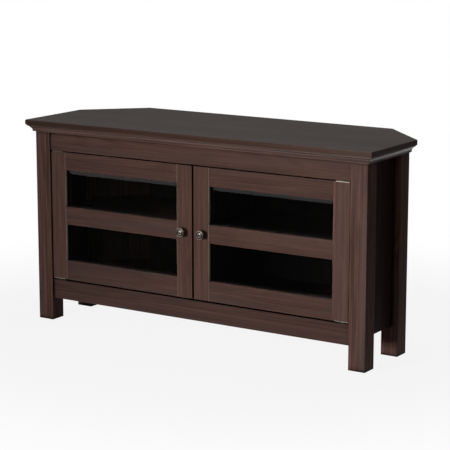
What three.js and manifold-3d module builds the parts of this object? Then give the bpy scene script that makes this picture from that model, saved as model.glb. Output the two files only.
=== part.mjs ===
// A corner television cabinet: a six-sided top with a cove moulding, four square posts,
// two framed doors with bevelled glass on pivot hinges, and one adjustable shelf in each bay.
// Millimetres. X runs along the front, Y from the front to the back, Z up.
// The group's origin is the centre of the cabinet's outline on the floor.
import * as THREE from 'three';
import { mergeVertices } from 'three/addons/utils/BufferGeometryUtils.js';
import Module from 'manifold-3d';

const wasm = await Module();
wasm.setup();

// Overall sizes
const topWidth = 1118;
const topDepth = 406;
const cornerCut = 150;
const cabinetHeight = 584;
const touchGap = 0.3;
const cutOverrun = 4;

// Top board and the cove moulding under it
const topThickness = 15;
const topEdgeRound = 2;
const overhang = 21;
const mouldingHeight = 18.8;
const mouldingTopBand = 3;
const mouldingBottomBand = 2.5;
const mouldingTopReach = 17.2;
const mouldingBottomReach = 5.7;
const mouldingStep = 1.5;
const coveHollow = 2.2;

// Posts and fixed panels
const postSize = 50;
const postArris = 2;
const rearPostBehindMiddle = 1;
const panelThickness = 15;
const railThickness = 18;
const backThickness = 5;
const sidePanelRecess = 19;
const sidePanelRise = 83;
const apronRecess = 4;
const apronHeight = 69.5;
const bottomRailRecess = 7;
const bottomRailRise = 64.5;
const bottomRailHeight = 56;
const backRailHeight = 60;
const cableHoleDiameter = 40;
const cableHoleFromMiddle = 264;
const cableHoleAboveBoard = 115;

// Doors
const doorRecess = 4;
const doorThickness = 18;
const doorTopGap = 3.5;
const doorBottomGap = 5.5;
const doorSideGap = 2.5;
const doorMeetingGap = 6;
const stileWidth = 49;
const doorTopRail = 51;
const doorMiddleRail = 51;
const doorBottomRail = 56;
const dividerClearance = 1;

// Bevelled glass
const paneThickness = 4;
const paneEdgeThickness = 2.2;
const paneBackDepth = 15;
const paneBevelSeen = 12;
const paneEdgeClearance = 0.5;
const grooveDepth = 6;

// Pivot hinges
const leafLength = 39;
const leafWidth = 14;
const leafThickness = 2.2;
const leafSunk = 1.2;
const leafFromEdge = 3;
const leafFromFace = 1;
const pivotFromEdge = 20;
const pivotFromFace = 9;
const pivotPinDiameter = 4;
const pivotPinInBush = 7;
const pivotPinClearance = 0.1;
const bushDiameter = 8;
const bushLength = 9;
const bushBoreDepth = 7.8;
const bushFlangeDiameter = 11;
const bushClearance = 0.3;

// Shelves and their pins
const shelfThickness = 15;
const shelfClearance = 1.5;
const shelfSetBack = 14;
const shelfPinDiameter = 5;
const shelfPinSunk = 6;
const shelfPinReach = 8;
const shelfPinCollarDiameter = 8;
const shelfPinCollar = 1.2;
const shelfPinInset = 40;

// Knobs, catches and strikes
const knobDiameter = 25;
const knobProjection = 19;
const knobFromEdge = 29;
const knobScrewDiameter = 4;
const knobScrewReach = 8;
const screwHeadDiameter = 8;
const screwHeadHeight = 2.2;
const screwRecessDiameter = 4;
const screwRecessDepth = 1;
const catchWidth = 12;
const catchLength = 40;
const catchDepth = 16;
const catchFromTop = 16;
const catchClearance = 0.6;
const magnetPlate = 1.2;
const magnetProud = 0.5;
const magnetEndInset = 4;
const magnetSideShare = 0.25;
const magnetDepthShare = 0.5;
const strikeThickness = 1;
const strikeLength = 30;

// How finely round forms are divided
const roundSteps = 20;
const fineRoundSteps = 32;
const coveSteps = 8;
const arrisSteps = 3;

// Heights
const topUnderside = cabinetHeight - topThickness;
const bottomRailTop = bottomRailRise + bottomRailHeight;
const doorBottom = bottomRailTop + doorBottomGap;
const apronBottom = topUnderside - apronHeight;
const doorTop = apronBottom - doorTopGap;
const doorHeight = doorTop - doorBottom;
const paneOpeningHeight = (doorHeight - doorTopRail - doorMiddleRail - doorBottomRail) / 2;

// Places in plan, measured from the middle of the front edge of the top
const halfTop = topWidth / 2;
const postOuterX = halfTop - overhang;
const postInnerX = postOuterX - postSize;
const frontPostFace = overhang;
const frontPostBack = frontPostFace + postSize;
const bodyBack = topDepth - overhang;
const rearPostMiddle = (frontPostBack + bodyBack) / 2 + rearPostBehindMiddle;
const rearPostFace = rearPostMiddle - postSize / 2;
const rearPostBack = rearPostMiddle + postSize / 2;
const backPanelFront = bodyBack - backThickness;
const sidePanelOuterX = postOuterX - sidePanelRecess;
const sidePanelInnerX = sidePanelOuterX - panelThickness;
const doorFace = frontPostFace + doorRecess;
const doorBack = doorFace + doorThickness;
const bottomRailBack = frontPostFace + bottomRailRecess + railThickness;
const doorOuterX = postInnerX - doorSideGap;
const doorInnerX = doorMeetingGap / 2;
const doorWidth = doorOuterX - doorInnerX;
const dividerFront = doorBack + dividerClearance;
const halfDivider = panelThickness / 2;
const pivotX = doorOuterX - pivotFromEdge;
const pivotY = doorFace + pivotFromFace;
const knobX = doorInnerX + knobFromEdge;
const knobHeight = (doorBottom + doorTop) / 2;
const shelfMiddleHeight = knobHeight;

// The slanting rear corner: X plus Y is the same everywhere along a 45 degree face
const topCutSum = halfTop + topDepth - cornerCut;
const slantOuterSum = topCutSum - overhang * Math.SQRT2;
const slantInnerSum = slantOuterSum - panelThickness * Math.SQRT2;
const slantGap = touchGap * Math.SQRT2;
const backCornerX = slantOuterSum - bodyBack;

// Colours seen in the photograph
const espresso = new THREE.MeshStandardMaterial({ color: 0x4e3a34, roughness: 0.45, metalness: 0 });
const topFinish = new THREE.MeshStandardMaterial({ color: 0x4c4542, roughness: 0.4, metalness: 0 });
const inside = new THREE.MeshStandardMaterial({ color: 0x35261f, roughness: 0.6, metalness: 0 });
const backBoard = new THREE.MeshStandardMaterial({ color: 0x2a201c, roughness: 0.7, metalness: 0 });
const clearGlass = new THREE.MeshStandardMaterial({
  color: 0x9aa8a6, roughness: 0.05, metalness: 0, transparent: true, opacity: 0.35,
});
const agedBronze = new THREE.MeshStandardMaterial({ color: 0x8a7c6e, roughness: 0.3, metalness: 1 });
const plateSteel = new THREE.MeshStandardMaterial({ color: 0xb4aaa0, roughness: 0.35, metalness: 1 });
const darkNylon = new THREE.MeshStandardMaterial({ color: 0x1d1a19, roughness: 0.6, metalness: 0 });

const cabinet = new THREE.Group();
cabinet.position.y = -topDepth / 2;

function addTo(group, name, geometry, material) {
  const mesh = new THREE.Mesh(geometry, material);
  mesh.name = name;
  group.add(mesh);
  return mesh;
}

// Solids for boolean cuts and joins
function solidOf(geometry) {
  const bare = geometry.clone();
  bare.deleteAttribute('normal');
  bare.deleteAttribute('uv');
  const merged = mergeVertices(bare);
  return new wasm.Manifold(new wasm.Mesh({
    numProp: 3,
    vertProperties: new Float32Array(merged.attributes.position.array),
    triVerts: new Uint32Array(merged.index.array),
  }));
}

function geometryOf(solid) {
  const mesh = solid.getMesh();
  const geometry = new THREE.BufferGeometry();
  geometry.setAttribute('position', new THREE.BufferAttribute(mesh.vertProperties, 3));
  geometry.setIndex(new THREE.BufferAttribute(mesh.triVerts, 1));
  geometry.computeVertexNormals();
  return geometry;
}

function cutFrom(geometry, cutters) {
  return geometryOf(cutters.reduce((solid, cutter) => solid.subtract(solidOf(cutter)), solidOf(geometry)));
}

function joined(geometries) {
  return geometryOf(geometries.slice(1).reduce(
    (solid, extra) => solid.add(solidOf(extra)),
    solidOf(geometries[0]),
  ));
}

// A box between two opposite corners, given in any order
function block(x0, x1, y0, y1, z0, z1) {
  const geometry = new THREE.BoxGeometry(Math.abs(x1 - x0), Math.abs(y1 - y0), Math.abs(z1 - z0));
  return geometry.translate((x0 + x1) / 2, (y0 + y1) / 2, (z0 + z1) / 2);
}

function outlineOf(points) {
  return new THREE.Shape(points.map(([a, b]) => new THREE.Vector2(a, b)));
}

// A board whose outline lies in plan
function planBoard(points, bottom, top) {
  const geometry = new THREE.ExtrudeGeometry(outlineOf(points), { depth: top - bottom, bevelEnabled: false });
  return geometry.translate(0, 0, bottom);
}

// A bar whose section lies in the Y-Z plane, running from one X to the other
function crossBar(sectionPoints, startX, endX) {
  const geometry = new THREE.ExtrudeGeometry(outlineOf(sectionPoints), {
    depth: endX - startX,
    bevelEnabled: false,
  });
  const turn = new THREE.Matrix4().makeBasis(
    new THREE.Vector3(0, 1, 0),
    new THREE.Vector3(0, 0, 1),
    new THREE.Vector3(1, 0, 0),
  );
  return geometry.applyMatrix4(turn).translate(startX, 0, 0);
}

// A rod along Z, X or Y between two places on its axis
function rodZ(diameter, x, y, z0, z1) {
  const rod = new THREE.CylinderGeometry(diameter / 2, diameter / 2, Math.abs(z1 - z0), roundSteps);
  return rod.rotateX(Math.PI / 2).translate(x, y, (z0 + z1) / 2);
}

function rodX(diameter, y, z, x0, x1) {
  const rod = new THREE.CylinderGeometry(diameter / 2, diameter / 2, Math.abs(x1 - x0), roundSteps);
  return rod.rotateZ(Math.PI / 2).translate((x0 + x1) / 2, y, z);
}

function rodY(diameter, x, z, y0, y1) {
  const rod = new THREE.CylinderGeometry(diameter / 2, diameter / 2, Math.abs(y1 - y0), roundSteps);
  return rod.translate(x, (y0 + y1) / 2, z);
}

function turned(profile, steps) {
  return new THREE.LatheGeometry(profile.map(([r, h]) => new THREE.Vector2(r, h)), steps);
}

const sides = [
  { name: 'left', sign: -1 },
  { name: 'right', sign: 1 },
];

// The six-sided top, its edges slightly rounded
function makeTop() {
  const points = [
    [-halfTop, 0],
    [halfTop, 0],
    [halfTop, topDepth - cornerCut],
    [halfTop - cornerCut, topDepth],
    [cornerCut - halfTop, topDepth],
    [-halfTop, topDepth - cornerCut],
  ];
  const geometry = new THREE.ExtrudeGeometry(outlineOf(points), {
    depth: topThickness - 2 * topEdgeRound,
    bevelThickness: topEdgeRound,
    bevelSize: topEdgeRound,
    bevelOffset: -topEdgeRound,
    bevelSegments: arrisSteps,
  });
  return geometry.translate(0, 0, topUnderside + topEdgeRound);
}

// The cove moulding's section: outward reach from the posts' faces, and height
function mouldingSection() {
  const top = mouldingHeight - touchGap;
  const coveStart = new THREE.Vector2(mouldingTopReach - mouldingStep, mouldingHeight - mouldingTopBand);
  const coveEnd = new THREE.Vector2(mouldingBottomReach, mouldingBottomBand);
  const chord = coveEnd.clone().sub(coveStart);
  const inward = new THREE.Vector2(chord.y, -chord.x).normalize();
  const pull = coveStart.clone().add(coveEnd).divideScalar(2).addScaledVector(inward, 2 * coveHollow);
  const shape = new THREE.Shape();
  shape.moveTo(touchGap, 0);
  shape.lineTo(mouldingBottomReach, 0);
  shape.lineTo(coveEnd.x, coveEnd.y);
  shape.quadraticCurveTo(pull.x, pull.y, coveStart.x, coveStart.y);
  shape.lineTo(mouldingTopReach, coveStart.y);
  shape.lineTo(mouldingTopReach, top);
  shape.lineTo(touchGap, top);
  return shape;
}

// One length of moulding. Its start and end can be mitred to meet the next length at 45 degrees.
function mouldingLength(startX, startY, outX, outY, length, mitreStart, mitreEnd) {
  const geometry = new THREE.ExtrudeGeometry(mouldingSection(), {
    depth: length,
    bevelEnabled: false,
    curveSegments: coveSteps,
  });
  const position = geometry.attributes.position;
  const mitreGap = slantGap / 2;
  for (let i = 0; i < position.count; i += 1) {
    const reach = position.getX(i);
    const atEnd = position.getZ(i) > length / 2;
    if (atEnd && mitreEnd) position.setZ(i, length + reach - mitreGap);
    if (!atEnd && mitreStart) position.setZ(i, mitreGap - reach);
  }
  const turn = new THREE.Matrix4().makeBasis(
    new THREE.Vector3(outX, outY, 0),
    new THREE.Vector3(0, 0, 1),
    new THREE.Vector3(outY, -outX, 0),
  );
  return geometry.applyMatrix4(turn).translate(startX, startY, topUnderside - mouldingHeight);
}

function addTopAndMoulding() {
  addTo(cabinet, 'top_board', makeTop(), topFinish);
  const sideLength = rearPostBack - frontPostFace;
  const front = mouldingLength(postOuterX, frontPostFace, 0, -1, 2 * postOuterX, true, true);
  const left = mouldingLength(-postOuterX, frontPostFace, -1, 0, sideLength, true, false);
  const right = mouldingLength(postOuterX, rearPostBack, 1, 0, sideLength, false, true);
  addTo(cabinet, 'moulding_front', front, espresso);
  addTo(cabinet, 'moulding_left', left, espresso);
  addTo(cabinet, 'moulding_right', right, espresso);
}

// A square post with its four long edges slightly rounded
function makePost(centreX, centreY) {
  const half = postSize / 2;
  const straight = half - postArris;
  const shape = new THREE.Shape();
  shape.absarc(straight, straight, postArris, 0, Math.PI / 2);
  shape.absarc(-straight, straight, postArris, Math.PI / 2, Math.PI);
  shape.absarc(-straight, -straight, postArris, Math.PI, 1.5 * Math.PI);
  shape.absarc(straight, -straight, postArris, 1.5 * Math.PI, 2 * Math.PI);
  const geometry = new THREE.ExtrudeGeometry(shape, {
    depth: topUnderside - touchGap,
    bevelEnabled: false,
    curveSegments: arrisSteps,
  });
  return geometry.translate(centreX, centreY, 0);
}

// Where the shelf pins stand: height, and depth in the cabinet
const shelfUnderside = shelfMiddleHeight - shelfThickness / 2;
const pinHeight = shelfUnderside - touchGap - shelfPinDiameter / 2;
const shelfFront = dividerFront + shelfSetBack;
const frontPinY = shelfFront + shelfPinInset;
const rearPostPinY = rearPostMiddle;
const rearDividerPinY = backPanelFront - shelfPinInset;

function pinHole(faceX, direction, y) {
  const holeDiameter = shelfPinDiameter + 2 * touchGap;
  const holeEnd = faceX + direction * (shelfPinSunk + touchGap);
  return rodX(holeDiameter, y, pinHeight, faceX - direction * cutOverrun, holeEnd);
}

function addPosts() {
  for (const { name, sign } of sides) {
    const x = sign * (postInnerX + postSize / 2);
    addTo(cabinet, `front_post_${name}`, makePost(x, frontPostFace + postSize / 2), espresso);
    const rear = cutFrom(makePost(x, rearPostPinY), [pinHole(sign * postInnerX, sign, rearPostPinY)]);
    addTo(cabinet, `rear_post_${name}`, rear, espresso);
  }
}

// The apron over the doors and the rail below them, each bored for the hinge bushes
function addFrontRails() {
  const endX = postInnerX - touchGap;
  const holeDiameter = bushDiameter + 2 * bushClearance;
  const holeDepth = bushLength + bushClearance;
  const apronFace = frontPostFace + apronRecess;
  const apron = block(-endX, endX, apronFace, apronFace + railThickness, apronBottom, topUnderside - touchGap);
  const rail = block(-endX, endX, bottomRailBack - railThickness, bottomRailBack, bottomRailRise, bottomRailTop);
  const apronHoles = sides.map(({ sign }) => rodZ(
    holeDiameter, sign * pivotX, pivotY, apronBottom - cutOverrun, apronBottom + holeDepth,
  ));
  const railHoles = sides.map(({ sign }) => rodZ(
    holeDiameter, sign * pivotX, pivotY, bottomRailTop - holeDepth, bottomRailTop + cutOverrun,
  ));
  addTo(cabinet, 'apron', cutFrom(apron, apronHoles), espresso);
  addTo(cabinet, 'bottom_rail', cutFrom(rail, railHoles), espresso);
}

// Side panels between the posts, and the slanting panels behind the rear posts
function addSidePanels() {
  const top = topUnderside - touchGap;
  for (const { name, sign } of sides) {
    const side = block(
      sign * sidePanelInnerX, sign * sidePanelOuterX,
      frontPostBack + touchGap, rearPostFace - touchGap, sidePanelRise, top,
    );
    const drilled = cutFrom(side, [pinHole(sign * sidePanelInnerX, sign, frontPinY)]);
    addTo(cabinet, `side_panel_${name}`, drilled, espresso);
    const near = rearPostBack + touchGap;
    const far = backPanelFront - touchGap;
    const slant = planBoard([
      [sign * (slantInnerSum - near), near],
      [sign * (slantOuterSum - near), near],
      [sign * (slantOuterSum - far), far],
      [sign * (slantInnerSum - far), far],
    ], sidePanelRise, top);
    addTo(cabinet, `slant_panel_${name}`, slant, espresso);
  }
}

// The inside outline of one half of the cabinet, from the front corner round to the back
function halfInside(sign, front, clearance) {
  const postX = postInnerX - clearance;
  const panelX = sidePanelInnerX - clearance;
  const slantSum = slantInnerSum - clearance * Math.SQRT2;
  const behindPost = rearPostBack + clearance;
  const back = backPanelFront - clearance;
  return [
    [sign * postX, front],
    [sign * postX, frontPostBack + clearance],
    [sign * panelX, frontPostBack + clearance],
    [sign * panelX, rearPostFace - clearance],
    [sign * postX, rearPostFace - clearance],
    [sign * postX, behindPost],
    [sign * (slantSum - behindPost), behindPost],
    [sign * (slantSum - back), back],
  ];
}

function addFloorAndBack() {
  const front = bottomRailBack + touchGap;
  const rightHalf = halfInside(1, front, touchGap);
  const leftHalf = halfInside(-1, front, touchGap).reverse();
  const floor = planBoard([...rightHalf, ...leftHalf], bottomRailTop - panelThickness, bottomRailTop);
  addTo(cabinet, 'floor_board', floor, inside);

  const back = outlineOf([
    [-backCornerX, sidePanelRise],
    [backCornerX, sidePanelRise],
    [backCornerX, topUnderside - touchGap],
    [-backCornerX, topUnderside - touchGap],
  ]);
  const holeHeights = [bottomRailTop + cableHoleAboveBoard, shelfMiddleHeight + cableHoleAboveBoard];
  for (const { sign } of sides) {
    for (const height of holeHeights) {
      const hole = new THREE.Path();
      hole.absarc(sign * cableHoleFromMiddle, height, cableHoleDiameter / 2, 0, 2 * Math.PI, true);
      back.holes.push(hole);
    }
  }
  const backPanel = new THREE.ExtrudeGeometry(back, {
    depth: backThickness,
    bevelEnabled: false,
    curveSegments: roundSteps,
  });
  backPanel.rotateX(Math.PI / 2).translate(0, bodyBack, 0);
  addTo(cabinet, 'back_panel', backPanel, backBoard);

  const railBottom = topUnderside - backRailHeight;
  const railBack = backPanelFront - touchGap;
  const railEndSum = slantInnerSum - slantGap;
  const backRail = planBoard([
    [railEndSum - railBack, railBack],
    [railEndSum - railBack + panelThickness, railBack - panelThickness],
    [railBack - panelThickness - railEndSum, railBack - panelThickness],
    [railBack - railEndSum, railBack],
  ], railBottom, topUnderside - touchGap);
  addTo(cabinet, 'back_rail', backRail, inside);
}

// The upright between the two bays, notched round the back rail and drilled for shelf pins
function addDivider() {
  const back = backPanelFront - touchGap;
  const notchFront = back - panelThickness - touchGap;
  const top = topUnderside - touchGap;
  const upright = crossBar([
    [dividerFront, bottomRailTop + touchGap],
    [back, bottomRailTop + touchGap],
    [back, topUnderside - backRailHeight - touchGap],
    [notchFront, topUnderside - backRailHeight - touchGap],
    [notchFront, top],
    [dividerFront, top],
  ], -halfDivider, halfDivider);
  const holes = sides.flatMap(({ sign }) => [frontPinY, rearDividerPinY].map(
    (y) => pinHole(sign * halfDivider, -sign, y),
  ));
  addTo(cabinet, 'divider', cutFrom(upright, holes), inside);
}

// A shelf pin lies along X: a shaft in its hole, a collar on the panel and a reach under the shelf
function shelfPin(faceX, direction, y) {
  const shaft = shelfPinDiameter / 2;
  const collar = shelfPinCollarDiameter / 2;
  const pin = turned([
    [0, -shelfPinSunk],
    [shaft, -shelfPinSunk],
    [shaft, touchGap],
    [collar, touchGap],
    [collar, touchGap + shelfPinCollar],
    [shaft, touchGap + shelfPinCollar],
    [shaft, touchGap + shelfPinCollar + shelfPinReach],
    [0, touchGap + shelfPinCollar + shelfPinReach],
  ], roundSteps);
  return pin.rotateZ(direction * Math.PI / 2).translate(faceX, y, pinHeight);
}

function addShelves() {
  const collarRoom = shelfPinCollar + 2 * touchGap;
  for (const { name, sign } of sides) {
    const innerX = halfDivider + collarRoom;
    const outline = [
      [sign * innerX, backPanelFront - shelfClearance],
      [sign * innerX, shelfFront],
      ...halfInside(sign, shelfFront, Math.max(shelfClearance, collarRoom)),
    ];
    const shelf = planBoard(outline, shelfUnderside, shelfUnderside + shelfThickness);
    addTo(cabinet, `shelf_${name}`, shelf, inside);
    const dividerFace = sign * halfDivider;
    const pins = {
      front_inner: shelfPin(dividerFace, -sign, frontPinY),
      rear_inner: shelfPin(dividerFace, -sign, rearDividerPinY),
      front_outer: shelfPin(sign * sidePanelInnerX, sign, frontPinY),
      rear_outer: shelfPin(sign * postInnerX, sign, rearPostPinY),
    };
    for (const [place, pin] of Object.entries(pins)) {
      addTo(cabinet, `shelf_pin_${name}_${place}`, pin, plateSteel);
    }
  }
}

// A flanged bush pressed into the apron or the bottom rail. Up is 1 for a mouth that faces up.
// Its flange fills the gap at that end of the door, up to the hinge leaf.
function hingeBush(x, mouthHeight, up, gap) {
  const outer = bushDiameter / 2;
  const flange = bushFlangeDiameter / 2;
  const bore = pivotPinDiameter / 2 + pivotPinClearance;
  const flangeTop = gap - (leafThickness - leafSunk + touchGap) - touchGap;
  const bush = turned([
    [0, -bushLength],
    [outer, -bushLength],
    [outer, touchGap],
    [flange, touchGap],
    [flange, flangeTop],
    [bore, flangeTop],
    [bore, -bushBoreDepth],
    [0, -bushBoreDepth],
  ], roundSteps);
  return bush.rotateX(up * Math.PI / 2).translate(x, pivotY, mouthHeight);
}

function addBushesAndCatches() {
  for (const { name, sign } of sides) {
    const upperBush = hingeBush(sign * pivotX, apronBottom, -1, doorTopGap);
    addTo(cabinet, `hinge_bush_${name}_top`, upperBush, darkNylon);
    const lowerBush = hingeBush(sign * pivotX, bottomRailTop, 1, doorBottomGap);
    addTo(cabinet, `hinge_bush_${name}_bottom`, lowerBush, darkNylon);
    const near = sign * (halfDivider + touchGap);
    const far = near + sign * catchWidth;
    const face = doorBack + touchGap + strikeThickness + catchClearance;
    const high = doorTop - catchFromTop;
    const low = high - catchLength;
    const inset = sign * (catchWidth - magnetPlate) * magnetSideShare;
    const body = block(near, far, face + magnetProud, face + catchDepth, low, high);
    const poles = [near + inset, far - inset].map((x) => block(
      x - magnetPlate / 2, x + magnetPlate / 2,
      face, face + catchDepth * magnetDepthShare, low + magnetEndInset, high - magnetEndInset,
    ));
    addTo(cabinet, `catch_${name}`, joined([body, ...poles]), darkNylon);
  }
}

// Door stiles and rails share one groove, which holds the glass
const paneEdgeInGroove = grooveDepth - paneEdgeClearance;
const paneBevel = paneBevelSeen + paneEdgeInGroove;
const paneRiseAtGroove = (paneThickness - paneEdgeThickness) * paneEdgeInGroove / paneBevel;
const grooveFront = doorFace + paneBackDepth - paneEdgeThickness - paneRiseAtGroove - touchGap;
const grooveBack = doorFace + paneBackDepth + touchGap;
const openingOuterX = doorOuterX - stileWidth;
const openingInnerX = doorInnerX + stileWidth;

// A stile in plan, with its groove open towards the glass
function makeStile(edgeX, openingX) {
  const towards = Math.sign(edgeX - openingX);
  const grooveX = openingX + towards * grooveDepth;
  return planBoard([
    [edgeX, doorFace],
    [openingX, doorFace],
    [openingX, grooveFront],
    [grooveX, grooveFront],
    [grooveX, grooveBack],
    [openingX, grooveBack],
    [openingX, doorBack],
    [edgeX, doorBack],
  ], doorBottom, doorTop);
}

// The sunk seat for a hinge leaf at one end of the outer stile
function leafSeat(sign, endHeight, outward) {
  const x0 = doorOuterX - leafFromEdge + touchGap;
  const x1 = doorOuterX - leafFromEdge - leafLength - touchGap;
  return block(
    sign * x0, sign * x1, doorFace - cutOverrun, doorFace + leafFromFace + leafWidth + touchGap,
    endHeight - outward * leafSunk, endHeight + outward * cutOverrun,
  );
}

// A rail with grooves where it meets glass and a tongue at each end that enters the stiles' grooves
function makeRail(sign, bottom, top, grooveBelow, grooveAbove) {
  const section = [[doorFace, bottom]];
  if (grooveBelow) {
    section.push([grooveFront, bottom], [grooveFront, bottom + grooveDepth]);
    section.push([grooveBack, bottom + grooveDepth], [grooveBack, bottom]);
  }
  section.push([doorBack, bottom], [doorBack, top]);
  if (grooveAbove) {
    section.push([grooveBack, top], [grooveBack, top - grooveDepth]);
    section.push([grooveFront, top - grooveDepth], [grooveFront, top]);
  }
  section.push([doorFace, top]);
  const endX = [sign * (openingInnerX + touchGap), sign * (openingOuterX - touchGap)].sort((a, b) => a - b);
  const body = crossBar(section, endX[0], endX[1]);
  const tongueReach = grooveDepth - touchGap;
  const tongue = block(
    sign * (openingInnerX - tongueReach), sign * (openingOuterX + tongueReach),
    grooveFront + touchGap, grooveBack - touchGap,
    bottom + (grooveBelow ? grooveDepth : 0), top - (grooveAbove ? grooveDepth : 0),
  );
  return joined([body, tongue]);
}

// A pane with a wide bevel round its front face
function makePane(sign, bottom, top) {
  const x0 = openingInnerX - paneEdgeInGroove;
  const x1 = openingOuterX + paneEdgeInGroove;
  const z0 = bottom - paneEdgeInGroove;
  const z1 = top + paneEdgeInGroove;
  const back = doorFace + paneBackDepth;
  const edgeFront = back - paneEdgeThickness;
  const face = back - paneThickness;
  const raised = block(sign * x0, sign * x1, face, edgeFront, z0, z1);
  const position = raised.attributes.position;
  const middleX = sign * (x0 + x1) / 2;
  const middleZ = (z0 + z1) / 2;
  const halfway = (face + edgeFront) / 2;
  for (let i = 0; i < position.count; i += 1) {
    if (position.getY(i) < halfway) {
      const dx = position.getX(i) - middleX;
      const dz = position.getZ(i) - middleZ;
      position.setX(i, middleX + dx - Math.sign(dx) * paneBevel);
      position.setZ(i, middleZ + dz - Math.sign(dz) * paneBevel);
    }
  }
  return joined([block(sign * x0, sign * x1, edgeFront, back, z0, z1), raised]);
}

// A hinge leaf on a door end, with the pivot pin standing on it
function hingeLeaf(sign, endHeight, outward, gap) {
  const inner = endHeight - outward * (leafSunk - touchGap);
  const outer = inner + outward * leafThickness;
  const x0 = sign * (doorOuterX - leafFromEdge);
  const x1 = x0 - sign * leafLength;
  const y0 = doorFace + leafFromFace;
  const leaf = block(x0, x1, y0, y0 + leafWidth, inner, outer);
  const pinEnd = endHeight + outward * (gap + pivotPinInBush);
  const pin = rodZ(pivotPinDiameter, sign * pivotX, pivotY, (inner + outer) / 2, pinEnd);
  return joined([leaf, pin]);
}

// The knob's outline as shares of its radius and of its projection: a foot, a thin neck,
// a flared cup, a raised rim, a groove and a domed middle
const knobRadius = knobDiameter / 2;
const knobShares = [
  [0.58, 0], [0.58, 0.07], [0.46, 0.14], [0.38, 0.24], [0.37, 0.36], [0.44, 0.48], [0.64, 0.58],
  [0.86, 0.65], [0.97, 0.72], [1, 0.8], [0.97, 0.87], [0.9, 0.91], [0.82, 0.89], [0.74, 0.82],
  [0.64, 0.79], [0.54, 0.81], [0.46, 0.88], [0.36, 0.94], [0.24, 0.98], [0.12, 0.995], [0, 1],
];

function makeKnob(sign) {
  const bore = knobScrewDiameter / 2 + touchGap;
  const boreDepth = knobScrewReach + touchGap;
  const knob = turned([
    [0, boreDepth],
    [bore, boreDepth],
    [bore, 0],
    ...knobShares.map(([r, h]) => [r * knobRadius, h * knobProjection]),
  ], fineRoundSteps);
  return knob.rotateX(Math.PI).translate(sign * knobX, doorFace - touchGap, knobHeight);
}

// The screw that holds the knob from behind the stile, with a dished driver recess in its head
function makeKnobScrew(sign) {
  const shaft = knobScrewDiameter / 2;
  const head = screwHeadDiameter / 2;
  const shaftLength = doorThickness + touchGap + knobScrewReach;
  const screw = turned([
    [0, -screwHeadHeight + screwRecessDepth],
    [screwRecessDiameter / 2, -screwHeadHeight],
    [head, -screwHeadHeight],
    [head, 0],
    [shaft, 0],
    [shaft, shaftLength],
    [0, shaftLength],
  ], roundSteps);
  return screw.rotateX(Math.PI).translate(sign * knobX, doorBack + touchGap, knobHeight);
}

function addDoor({ name, sign }) {
  const door = new THREE.Group();
  const label = (piece) => `${name}_door_${piece}`;
  const lowOpening = doorBottom + doorBottomRail;
  const middleBottom = lowOpening + paneOpeningHeight;
  const middleTop = middleBottom + doorMiddleRail;
  const highOpening = middleTop + paneOpeningHeight;

  const outerStile = cutFrom(makeStile(sign * doorOuterX, sign * openingOuterX), [
    leafSeat(sign, doorTop, 1),
    leafSeat(sign, doorBottom, -1),
  ]);
  const screwHole = rodY(
    knobScrewDiameter + 2 * touchGap, sign * knobX, knobHeight,
    doorFace - cutOverrun, doorBack + cutOverrun,
  );
  const innerStile = cutFrom(makeStile(sign * doorInnerX, sign * openingInnerX), [screwHole]);
  addTo(door, label('outer_stile'), outerStile, espresso);
  addTo(door, label('inner_stile'), innerStile, espresso);
  addTo(door, label('top_rail'), makeRail(sign, highOpening, doorTop, true, false), espresso);
  addTo(door, label('middle_rail'), makeRail(sign, middleBottom, middleTop, true, true), espresso);
  addTo(door, label('bottom_rail'), makeRail(sign, doorBottom, lowOpening, false, true), espresso);
  addTo(door, label('upper_glass'), makePane(sign, middleTop, highOpening), clearGlass);
  addTo(door, label('lower_glass'), makePane(sign, lowOpening, middleBottom), clearGlass);
  addTo(door, label('knob'), makeKnob(sign), agedBronze);
  addTo(door, label('knob_screw'), makeKnobScrew(sign), plateSteel);
  addTo(door, label('hinge_leaf_top'), hingeLeaf(sign, doorTop, 1, doorTopGap), plateSteel);
  addTo(door, label('hinge_leaf_bottom'), hingeLeaf(sign, doorBottom, -1, doorBottomGap), plateSteel);

  const strikeTop = doorTop - catchFromTop - (catchLength - strikeLength) / 2;
  const strikeNear = sign * (halfDivider + touchGap);
  const strikeFront = doorBack + touchGap;
  const strike = block(
    strikeNear, strikeNear + sign * catchWidth, strikeFront, strikeFront + strikeThickness,
    strikeTop - strikeLength, strikeTop,
  );
  addTo(door, label('strike'), strike, plateSteel);
  cabinet.add(door);
}

addTopAndMoulding();
addPosts();
addFrontRails();
addSidePanels();
addFloorAndBack();
addDivider();
addShelves();
addBushesAndCatches();
sides.forEach(addDoor);

export default cabinet;
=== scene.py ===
import math

import bmesh
import bpy
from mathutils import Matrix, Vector


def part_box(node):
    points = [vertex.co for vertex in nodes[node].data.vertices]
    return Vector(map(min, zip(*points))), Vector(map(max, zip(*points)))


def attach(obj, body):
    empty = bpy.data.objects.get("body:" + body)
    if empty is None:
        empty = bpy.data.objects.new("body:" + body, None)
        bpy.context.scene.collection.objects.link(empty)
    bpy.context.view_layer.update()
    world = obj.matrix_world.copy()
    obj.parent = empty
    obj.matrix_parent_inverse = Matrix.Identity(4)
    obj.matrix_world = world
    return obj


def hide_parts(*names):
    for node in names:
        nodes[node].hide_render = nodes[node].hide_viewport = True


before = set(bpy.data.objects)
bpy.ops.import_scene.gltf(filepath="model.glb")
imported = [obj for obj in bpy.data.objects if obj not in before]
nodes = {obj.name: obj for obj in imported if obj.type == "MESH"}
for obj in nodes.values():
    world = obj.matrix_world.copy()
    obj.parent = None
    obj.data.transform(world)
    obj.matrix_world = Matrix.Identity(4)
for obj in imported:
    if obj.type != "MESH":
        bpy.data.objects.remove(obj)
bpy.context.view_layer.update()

MM = 0.001
WHITE = (1, 1, 1, 1)

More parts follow.
